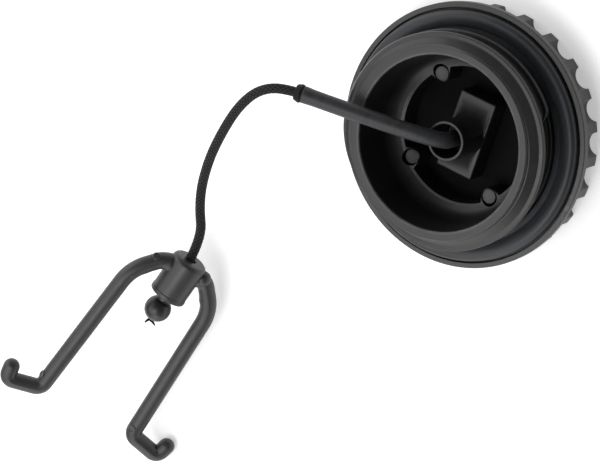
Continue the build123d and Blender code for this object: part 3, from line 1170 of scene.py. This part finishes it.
@dataclass
class SealRing:
    """The rubber ring between bezel and skirt, with a soft crown near its outer edge."""

    inner: float = 18.4
    outer: float = 22.65
    foot: float = 7.0
    flat_top: float = 8.7
    crown_top: float = 9.3
    shoulder: float = 1.1
    flat_width: float = 1.0
    crown_radius: float = 22.0
    columns: int = 320

    def section(self) -> np.ndarray:
        """The closed outline: flat inner land, a long rise to the crown, and a round shoulder.

        Returns:
            The (r, z) points, in millimetres.
        """
        r = np.linspace(self.inner + self.flat_width, self.outer - self.shoulder, 24)
        share = (r - r[0]) / (r[-1] - r[0])
        rise = self.flat_top + (self.crown_top - self.flat_top) * (1 - (1 - share) ** 2)
        slope = smooth_step(share * 3)
        crown = np.stack([r, self.flat_top + (rise - self.flat_top) * slope], axis=-1)
        k = np.linspace(0, np.pi / 2, 10)[1:]
        shoulder = np.stack([self.outer - self.shoulder * (1 - np.sin(k)),
                             self.crown_top - self.shoulder * (1 - np.cos(k))], axis=-1)
        foot = soften([tuple(shoulder[-1] - (0, 0.05)), (self.outer, self.foot),
                       (self.inner, self.foot), (self.inner, self.flat_top),
                       (self.inner + self.flat_width - 0.05, self.flat_top)], [0.15, 0.15, 0.25])
        return np.vstack([crown, shoulder, foot])

    def build(self) -> List[bpy.types.Object]:
        """Makes the ring.

        Returns:
            The finished piece.
        """
        # Painted light: the valley between the inner edge and the crown, which the thread shades,
        # is lifted to a paler blue-grey.
        painted_valley_light = RingBand(self.inner * MM, (self.crown_radius - self.inner) * MM, 0.0, 1.0)
        finish = MouldedRubber("seal_nitrile", (0.005, 0.0055, 0.007), 0.48,
                               painted_light_ring=painted_valley_light)
        dressing = Dressing(finish.material(), "seal_rubber", Body.CAP, ("seal",))
        return [dressing.put_on(make_piece("sealing_ring", [lathe(self.section(), self.columns)]))]


@dataclass
class TetherPost:
    """The bar on the grip's floor with the tube that holds the tether's ball head."""

    half_length: float = 7.4
    half_width: float = 3.7
    top: float = 7.0
    floor: float = 2.2
    angle: float = 48.8
    top_round: float = 0.35
    tube_radius: float = 3.6
    tube_bore: float = 3.05
    tube_top: float = 14.9
    web_top: float = 7.95
    stem_hole: float = 1.545
    socket: float = 2.45
    ball_height: float = 4.65
    columns: int = 480

    def outline(self, angle: np.ndarray, inset: float) -> np.ndarray:
        """Distance from the axis to a rectangle with soft corners.

        A rectangle's edge lies at 1 / max(|cos a| / L, |sin a| / W); the maximum is softened as the
        40th root of the sum of 40th powers.

        Args:
            angle: angles round the axis, in radians.
            inset: how far it is drawn in, in millimetres.

        Returns:
            The radius at each angle, in millimetres.
        """
        across = np.abs(np.cos(angle)) / (self.half_length - inset)
        beside = np.abs(np.sin(angle)) / (self.half_width - inset)
        return (across ** 40 + beside ** 40) ** (-1 / 40)

    def shell(self) -> Shell:
        """The closed surface: socket, stem hole, tube, and the bar's top, sides and foot.

        Returns:
            The post's closed shell.
        """
        angle = np.linspace(0, TAU, self.columns, endpoint=False)
        k = np.linspace(0, np.arccos(self.stem_hole / self.socket), 9)
        dome = np.stack([self.socket * np.cos(k), self.ball_height + self.socket * np.sin(k)], -1)
        tube = soften([(self.stem_hole, dome[-1, 1] + 0.05), (self.stem_hole, self.web_top),
                       (self.tube_bore, self.web_top), (self.tube_bore, self.tube_top),
                       (self.tube_radius, self.tube_top), (self.tube_radius, self.top + 0.02)],
                      [0.1, 0.3, 0.16, 0.2])
        inner = np.vstack([[(self.socket, self.floor)], dome, tube])
        r = np.repeat(inner[:, :1], self.columns, axis=1)
        z = np.repeat(inner[:, 1:], self.columns, axis=1)
        rows_r = [np.maximum(self.outline(angle, self.top_round + 0.1), self.tube_radius + 0.01)]
        rows_z = [np.full_like(angle, self.top)]
        for turn in np.linspace(0, np.pi / 2, 7):
            inset = self.top_round * (1 - np.sin(turn))
            rows_r.append(np.maximum(self.outline(angle, inset), self.tube_radius + 0.02))
            rows_z.append(np.full_like(angle, self.top - self.top_round * (1 - np.cos(turn))))
        side = self.outline(angle, 0.0)
        rows_r += [side, side, side]
        rows_z += [np.full_like(angle, h) for h in (self.top - 0.5, self.floor + 0.1, self.floor)]
        r, z = np.vstack([r, rows_r]), np.vstack([z, rows_z])
        grid = np.stack([r * np.cos(angle), r * np.sin(angle), z], axis=-1)
        turned = np.radians(self.angle)
        return placed(closed_grid(grid, ring=True), (0, 0, 0),
                      (np.cos(turned), np.sin(turned), 0), (0, 0, 1))

    def build(self) -> List[bpy.types.Object]:
        """Makes the post and gives the hidden ball head its finish.

        Returns:
            The finished piece.
        """
        post = MouldedPlastic("post_nylon", (0.0145, 0.0143, 0.0138), 0.42, wear=0.12, dust=0.03)
        ball = MouldedPlastic("ball_nylon", (0.010, 0.010, 0.010), 0.38, wear=0.1, dust=0.02)
        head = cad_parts["ball_head"]
        head.data.materials.clear()
        head.data.materials.append(ball.material())
        dressing = Dressing(post.material(), "post_plastic", Body.CAP, ("tether_post",))
        return [dressing.put_on(make_piece("bar_and_tube", [self.shell()]))]


# ---------------------------------------------------------------- the bracket's axes

ALONG = np.array([-0.8180065, -0.5643049, -0.1114689])
SIDE = np.array([0.3887631, -0.6852081, 0.6159165])
BARREL = np.array([65.6, 8.2, 8.60434])


# ---------------------------------------------------------------- the tether


def spline_line(name: str, route: Sequence[Point]) -> np.ndarray:
    """Reads the smooth line of a NURBS spline.

    Args:
        name: a name for the working curve.
        route: control points, in millimetres.

    Returns:
        Points along the spline, in millimetres.
    """
    data = bpy.data.curves.new(name, "CURVE")
    data.dimensions = "3D"
    spline = data.splines.new("NURBS")
    spline.points.add(len(route) - 1)
    for point, place in zip(spline.points, route):
        point.co = (*(c * MM for c in place), 1.0)
    spline.order_u = 3
    spline.use_endpoint_u = True
    spline.resolution_u = 64
    curve = bpy.data.objects.new(name, data)
    bpy.context.scene.collection.objects.link(curve)
    bpy.context.view_layer.update()
    mesh = bpy.data.meshes.new_from_object(curve)
    line = np.zeros(len(mesh.vertices) * 3)
    mesh.vertices.foreach_get("co", line)
    bpy.data.objects.remove(curve)
    line = line.reshape(-1, 3) / MM
    keep = np.concatenate([[True], np.linalg.norm(np.diff(line, axis=0), axis=1) > 1e-5])
    return line[keep]


@dataclass
class Tether:
    """Rubber sleeve, collar and braided cord, with the stopper bead and frayed tails on its end."""

    sleeve_radius: float = 1.475
    sleeve_route: Tuple[Point, ...] = ((0, 0, 6.59), (0, 0, 11.2), (0, 0, 15.9),
                                       (9.9, -7.9, 20.3), (19.9, -15.9, 23.2))
    sleeve_aim: Point = (0.7616, -0.6093, 0.2209)
    collar_radius: float = 1.75
    collar_length: float = 1.3
    cord_diameter: float = 1.8
    strands: int = 8
    strand_pitch: float = 0.92
    relief: float = 0.09
    cord_route: Tuple[Point, ...] = (
        (18.99, -15.17, 22.93), (22.49, -17.97, 23.95), (27.4, -19.2, 24.0),
        (33.4, -17.8, 22.4), (40.4, -14.4, 19.4), (48.0, -10.0, 15.3), (54.9, -4.2, 10.9),
        (59.06, 3.69, 7.71), (66.99, 9.16, 8.79))
    bead_radius: float = 2.5
    bead_drop: float = 7.4
    neck_radius: float = 1.45
    neck_end: float = -1.7
    tail_radius: float = 0.3

    def sleeve(self) -> Shell:
        """A swept tube with two fine mould lines along it and a rounded, slightly swollen end.

        Returns:
            The sleeve's shell.
        """
        line = even_line(spline_line("sleeve_line", self.sleeve_route), 0.22)
        run = running_length(line)
        left = run[-1] - run
        angle = np.linspace(0, TAU, 72, endpoint=False)
        seams = 0.05 * (bump(angle - np.radians(62), 0.07) + bump(angle - np.radians(242), 0.07))
        swell = 0.10 * bump(left, 1.5)
        edge = np.minimum(left / 0.3, 1.0)
        shape = 1 - 0.14 * (1 - np.sqrt(1 - (1 - edge) ** 2))
        radius = (self.sleeve_radius + swell)[:, None] * shape[:, None] + seams[None]
        return sweep(line, radius, 72, (0.624, 0.7815, 0.0))

    def collar(self) -> Shell:
        """The dark ring at the sleeve's end: a turned section with a waist.

        Returns:
            The collar's shell.
        """
        r, length = self.collar_radius, self.collar_length
        section = soften([(0.88, 0.0), (r - 0.1, 0.0), (r, 0.35), (r - 0.12, 0.7),
                          (r - 0.3, length), (0.88, length)],
                         [0.05, 0.15, 0.2, 0.2, 0.3, 0.05], closed=True)
        aim = np.array(self.sleeve_aim) / np.linalg.norm(self.sleeve_aim)
        x_dir = np.cross(aim, (0, 0, 1))
        return placed(lathe(section, 56), self.sleeve_route[-1], x_dir / np.linalg.norm(x_dir), aim)

    def braid(self, line: np.ndarray) -> Shell:
        """The cord: a tube whose radius follows two crossing sets of strands.

        With p = n a and q = k s, one set is highest where sin((p + q) / 2) is +-1 and the other
        where sin((p - q) / 2) is. The sign of sin p sin q says which set passes over.

        Args:
            line: the cord's centre line.

        Returns:
            The braid's shell.
        """
        columns = 96
        angle = np.linspace(0, TAU, columns, endpoint=False)[None]
        run = running_length(line)[:, None]
        p, q = self.strands * angle, TAU * run / self.strand_pitch
        one, two = np.abs(np.sin((p + q) / 2)), np.abs(np.sin((p - q) / 2))
        over = 0.5 + 0.5 * np.tanh(2.5 * np.sin(p) * np.sin(q))
        height = np.maximum(one * (0.55 + 0.45 * over), two * (1 - 0.45 * over))
        radius = self.cord_diameter / 2 - self.relief + self.relief * 1.15 * height
        return sweep(line, radius, columns, (0, 0, 1), uv_scale=1 / self.strand_pitch)

    def bead(self) -> Shell:
        """The stopper: a ball, flattened where the tails leave, with a stepped neck.

        Returns:
            The bead's shell.
        """
        start = -self.bead_drop
        low = np.radians(-76)
        k = np.linspace(low, np.radians(51), 40)
        ball = np.stack([self.bead_radius * np.cos(k), start + self.bead_radius * np.sin(k)], -1)
        neck = soften([tuple(ball[-1]), (self.neck_radius, start + 2.1),
                       (self.neck_radius, self.neck_end - 0.9),
                       (self.neck_radius - 0.2, self.neck_end - 0.6),
                       (self.neck_radius - 0.25, self.neck_end), (0.5, self.neck_end)],
                      [0.2, 0.1, 0.1, 0.15])
        foot = np.array([(0.15, ball[0, 1] + 0.03), (0.45, ball[0, 1])])
        section = np.vstack([foot, ball, neck[1:]])
        return placed(lathe(section, 72, ring=False), BARREL, SIDE, ALONG)

    def tail(self, drop: float, side: float) -> List[Shell]:
        """One frayed tail: fibres that leave the knot at one spot, curl off and thin to a point.

        A fibre's point at share s goes drop (0.3 s + 0.7 s s) down the tether's line and
        side (1.3 s - 0.3 s s) to its side, plus a small twist t s to the front.

        Args:
            drop: how far the tail reaches down the line, in millimetres.
            side: how far it reaches to the side, in millimetres.

        Returns:
            The fibres.
        """
        foot = BARREL - ALONG * (self.bead_drop + 2.72) + SIDE * 0.1
        front = np.cross(SIDE, ALONG)
        share = np.linspace(0, 1, 14)[:, None]
        fibres = []
        for wide, twist, reach in ((1.0, 0.0, 1.0), (0.85, 0.22, 0.88), (1.1, -0.22, 0.9),
                                   (1.3, 0.1, 0.7)):
            line = foot + (SIDE * side * wide * (1.3 * share - 0.3 * share ** 2)
                           - ALONG * drop * (0.3 * share + 0.7 * share ** 2)
                           + front * twist * share) * reach
            line[0] = foot + ALONG * 0.6
            thick = self.tail_radius * 0.85 * (1 - 0.6 * share[:, 0] ** 2)
            fibres.append(sweep(line, thick, 12, tuple(front)))
        return fibres

    def build(self) -> List[bpy.types.Object]:
        """Returns:
            The finished pieces.
        """
        rubber = MouldedRubber("sleeve_rubber_finish", (0.014, 0.0145, 0.016), 0.5, 0.42,
                               bloom=(0.028, 0.029, 0.033), depth=0.000015).material()
        dark = MouldedRubber("collar_rubber_finish", (0.003, 0.003, 0.0035), 0.6, 0.2,
                             bloom=(0.006, 0.006, 0.007)).material()
        braid = BraidedFibre("black_braid", (0.0015, 0.0015, 0.002), 0.7, 0.3,
                             strands=self.strands).material()
        bead = MouldedPlastic("bead_nylon", (0.014, 0.014, 0.014), 0.4, wear=0.2,
                              dust=0.05).material()
        sleeve = Dressing(rubber, "sleeve_rubber", Body.TETHER, ("sleeve",)).put_on(
            make_piece("tether_sleeve", [self.sleeve()]))
        collar = Dressing(dark, "collar_rubber", Body.TETHER, ("collar",)).put_on(
            make_piece("sleeve_collar", [self.collar()]))
        line = spline_line("cord_line", self.cord_route)
        cord = Dressing(braid, "braid", Body.TETHER, ("cord",)).put_on(
            make_piece("braided_cord", [self.braid(line)]))
        stopper = Dressing(bead, "bead_plastic", Body.TETHER, ("bead",)).put_on(
            make_piece("stopper_bead", [self.bead()]))
        tails = [Dressing(dark, "braid", Body.TETHER, (node,)).put_on(
            make_piece("frayed_" + node, self.tail(drop, side)))
            for node, drop, side in (("tail_a", 0.95, 0.45), ("tail_b", 0.6, -1.5))]
        return [sleeve, collar, cord, stopper, *tails]


@dataclass
class Bracket:
    """The retaining bracket: a barrel on the cord and two wire-form legs with hooked feet."""

    radius: float = 3.45
    half_length: float = 4.2
    top_round: float = 0.9
    foot_round: float = 0.25
    bore: float = 0.98
    counterbore: float = 2.5
    counterbore_end: float = -1.2
    wire_radius: float = 1.55
    arm_root: float = 1.7
    arm_reach: float = 4.6
    shoulder: Tuple[float, float] = (8.75, -3.0)
    ankle: Tuple[float, float] = (10.05, -32.3)
    toe: Tuple[float, float] = (16.6, -33.8)
    tip: Tuple[float, float] = (17.1, -31.2)
    bends: Tuple[float, float, float, float] = (5.0, 10.5, 1.7, 1.7)
    flare: float = 0.3
    columns: int = 56

    def barrel(self) -> Shell:
        """The barrel: a turned section with a rounded top, a low rim at its foot and the bores.

        Returns:
            The barrel's shell.
        """
        h, r = self.half_length, self.radius
        section = soften([(self.bore, h), (r, h), (r, -h + 0.95), (r + 0.09, -h + 0.82),
                          (r + 0.09, -h), (self.counterbore, -h),
                          (self.counterbore, self.counterbore_end),
                          (self.bore, self.counterbore_end)],
                         [0.2, self.top_round, 0.1, 0.1, self.foot_round, 0.15, 0.2, 0.1],
                         steps=9, closed=True)
        return placed(lathe(section, 96), BARREL, SIDE, ALONG)

    def leg(self, mirror: float) -> Shell:
        """One arm, leg and hook in one sweep.

        Its radius is the wire's, plus a flare that dies away from the barrel and slight swells at
        the shoulder, where the mould's ejector pins press.

        Args:
            mirror: 1 for the leg on the side of +SIDE, -1 for the other.

        Returns:
            The leg's shell.
        """
        flat = [(2.0, self.arm_root), (self.arm_reach, self.arm_root), self.shoulder, self.ankle,
                self.toe, self.tip]
        line = even_line(soften(flat, self.bends, steps=16), 0.28)
        path = BARREL + line[:, :1] * mirror * SIDE + line[:, 1:] * ALONG
        path, share = round_end(path, self.wire_radius)
        run = running_length(path)
        radius = self.wire_radius * share + self.flare * np.exp(-np.maximum(run - 1.4, 0) / 0.7)
        angle = np.linspace(0, TAU, self.columns, endpoint=False)[None]
        parting = 0.035 * (bump(np.minimum(angle, TAU - angle), 0.06) + bump(angle - np.pi, 0.06))
        facing = np.maximum(np.cos(angle - np.pi / 2), 0) ** 6
        swells = 0.16 * bump(run[:, None] - 6.3, 0.8) * facing
        grid = radius[:, None] + parting * share[:, None] ** 4 + swells
        normal = np.cross(SIDE, ALONG)
        return sweep(path, grid, self.columns, tuple(normal * mirror))

    def knuckle(self, mirror: float) -> Shell:
        """The round boss where an arm leaves the barrel: a ball.

        Args:
            mirror: 1 or -1, the leg that it is on.

        Returns:
            The knuckle's shell.
        """
        k = np.linspace(-np.pi / 2, np.pi / 2, 33)[1:-1]
        section = np.stack([1.5 * np.cos(k), 1.5 * np.sin(k)], axis=-1)
        centre = (BARREL + SIDE * 3.75 * mirror + ALONG * 2.2
                  - np.cross(SIDE, ALONG) * 0.6)
        return placed(lathe(section, 48, ring=False), centre, SIDE, ALONG)

    def pin_mark(self, mirror: float, out: float, along: float, aim: np.ndarray) -> Shell:
        """The mark of one of the mould's ejector pins: a low round pad with a dished face.

        Args:
            mirror: 1 or -1, the leg that it is on.
            out: distance of the wire's centre from the barrel's axis there.
            along: place of the wire's centre along that axis.
            aim: the way that the pad faces.

        Returns:
            The pad.
        """
        aim = aim / np.linalg.norm(aim)
        across = np.cross(aim, SIDE + 0.5 * ALONG)
        section = soften([(0.78, 0.0), (0.78, 0.5), (0.56, 0.53), (0.48, 0.44), (0.1, 0.42)],
                         [0.12, 0.08, 0.08], steps=4)
        centre = BARREL + SIDE * out * mirror + ALONG * along + aim * (self.wire_radius - 0.4)
        return placed(lathe(section, 36, ring=False), centre, across / np.linalg.norm(across), aim)

    def build(self) -> List[bpy.types.Object]:
        """Makes the bracket.

        Returns:
            The finished piece.
        """
        front = np.cross(ALONG, SIDE)
        marks = [self.pin_mark(1.0, 6.3, 0.75, 0.8 * ALONG + 0.6 * front),
                 self.pin_mark(1.0, 9.93, -29.7, SIDE + 0.2 * front),
                 self.pin_mark(-1.0, 9.97, -30.8, 0.6 * SIDE + 0.8 * front)]
        finish = MouldedPlastic("bracket_nylon", (0.026, 0.0265, 0.027), 0.42, wear=0.2, dust=0.04,
                                depth=0.000016)
        shells = [self.barrel(), self.leg(1.0), self.leg(-1.0), self.knuckle(-1.0), *marks]
        dressing = Dressing(finish.material(), "bracket_plastic", Body.BRACKET, ("bracket",))
        return [dressing.put_on(make_piece("retaining_bracket", shells))]


# ---------------------------------------------------------------- floor, light and camera


@dataclass
class Lamp:
    """A square soft lamp aimed at the object.

    Attributes:
        place: where it hangs, in metres.
        size: side length, in metres.
        power: in watts.
    """

    place: Point
    size: float
    power: float

    def build(self, name: str) -> None:
        """Adds the lamp, aimed at the middle of the object.

        Args:
            name: the lamp's name.
        """
        data = bpy.data.lights.new(name, "AREA")
        data.shape, data.size, data.energy = "SQUARE", self.size, self.power
        lamp = bpy.data.objects.new(name, data)
        bpy.context.scene.collection.objects.link(lamp)
        back = np.array(self.place) - np.array((0.03, 0.0, 0.01))
        back /= np.linalg.norm(back)
        right = np.cross((0.0, 1.0, 0.0) if abs(back[2]) > 0.9 else (0.0, 0.0, 1.0), back)
        right /= np.linalg.norm(right)
        lamp.matrix_world = axes_matrix(right, np.cross(back, right), back, self.place)


def axes_matrix(right: np.ndarray, up: np.ndarray, back: np.ndarray, place: Sequence[float]
                ) -> Matrix:
    """The matrix whose columns are three axes and a place."""
    rows = np.column_stack([right, up, back, place])
    return Matrix([*rows.tolist(), [0.0, 0.0, 0.0, 1.0]])


@dataclass
class Studio:
    """A pale floor with a low wall round it, soft lamps, an even surround and the camera."""

    floor_size: float = 6.0
    wall_height: float = 0.6
    pale: Point = (0.86, 0.86, 0.86)
    floor_lift: float = 0.42
    wall_lift: float = 0.62
    surround: float = 0.17
    lamps: Tuple[Lamp, ...] = (
        Lamp((0.46, 0.0, 0.77), 0.8, 4.0),
        Lamp((0.40, 0.68, 0.40), 0.7, 3.4),
        Lamp((0.36, -0.70, 0.42), 0.7, 3.4),
        Lamp((0.09, 0.27, 0.86), 0.36, 2.1),
    )
    camera_place: Point = (-0.42572, 0.0072, 0.7904)
    camera_right: Point = (-0.8168, 0.3132, -0.4845)
    camera_back: Point = (-0.5101, 0.0, 0.8601)
    lens: float = 300.0

    def pale_paint(self, name: str, lift: float) -> bpy.types.Material:
        """Matt pale paint, lifted where the camera, a mirror or glass sees it.

        Args:
            name: the material's name.
            lift: strength added for those rays, so that a bare place looks white.

        Returns:
            The material.
        """
        material = bpy.data.materials.new(name)
        material.use_nodes = True
        material.node_tree.nodes.clear()
        nodes = Nodes(material.node_tree)
        path = nodes.add("ShaderNodeLightPath")
        some = nodes.math("MAXIMUM", path.outputs["Is Camera Ray"], path.outputs["Is Glossy Ray"])
        seen = nodes.math("MAXIMUM", some, path.outputs["Is Transmission Ray"])
        matt = nodes.add("ShaderNodeBsdfDiffuse", {"Color": (*self.pale, 1.0)})
        glow = nodes.add("ShaderNodeEmission", {"Strength": nodes.math("MULTIPLY", seen, lift)})
        both = nodes.add("ShaderNodeAddShader", {0: matt.outputs[0], 1: glow.outputs[0]})
        nodes.add("ShaderNodeOutputMaterial", {"Surface": both.outputs[0]})
        return material

    def stand(self, name: str, points: List[Point], faces: List[Tuple[int, ...]],
              lift: float) -> None:
        """Adds one part of the stage.

        Args:
            name: its name.
            points: its corners, in metres.
            faces: its faces.
            lift: how far its paint is lifted.
        """
        mesh = bpy.data.meshes.new(name)
        mesh.from_pydata(points, [], faces)
        mesh.materials.append(self.pale_paint("pale_" + name, lift))
        part = bpy.data.objects.new(name, mesh)
        bpy.context.scene.collection.objects.link(part)

    def surround_light(self) -> None:
        """Gives the world one even level."""
        world = bpy.data.worlds.new("surround")
        bpy.context.scene.world = world
        world.use_nodes = True
        world.node_tree.nodes["Background"].inputs["Strength"].default_value = self.surround
        world.node_tree.nodes["Background"].inputs["Color"].default_value = (1.0, 1.0, 1.0, 1.0)

    def camera(self) -> None:
        """Adds the camera."""
        data = bpy.data.cameras.new("camera")
        data.lens, data.sensor_width, data.sensor_fit = self.lens, 36.0, "HORIZONTAL"
        data.clip_start, data.clip_end = 0.01, 20.0
        view = bpy.data.objects.new("camera", data)
        bpy.context.scene.collection.objects.link(view)
        back = np.array(self.camera_back) / np.linalg.norm(self.camera_back)
        right = np.array(self.camera_right)
        right -= (right @ back) * back
        right /= np.linalg.norm(right)
        view.matrix_world = axes_matrix(right, np.cross(back, right), back, self.camera_place)
        bpy.context.scene.camera = view

    def build(self) -> None:
        """Sets the stage: the floor, the wall along its edges, the lights and the camera."""
        half, high = self.floor_size / 2, self.wall_height
        corners = [(-half, -half), (half, -half), (half, half), (-half, half)]
        foot = [(x, y, 0.0) for x, y in corners]
        self.stand("floor", foot, [(0, 1, 2, 3)], self.floor_lift)
        sides = [(i, (i + 1) % 4, (i + 1) % 4 + 4, i + 4) for i in range(4)]
        self.stand("wall", foot + [(x, y, high) for x, y in corners],
                   [side[::-1] for side in sides], self.wall_lift)
        self.surround_light()
        for number, lamp in enumerate(self.lamps):
            lamp.build(f"lamp_{number}")
        self.camera()
        bpy.context.scene.view_settings.view_transform = "Standard"


def main() -> None:
    """Builds every sub-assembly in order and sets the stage."""
    logging.basicConfig(level=logging.INFO, format="%(message)s")
    Studio().build()
    for assembly in (Tether(), Bracket(), TetherPost(), ThreadedCup(), SealRing(), Grip()):
        pieces = assembly.build()
        LOG.info("%s: %d pieces", type(assembly).__name__, len(pieces))


if __name__ == "__main__":
    main()
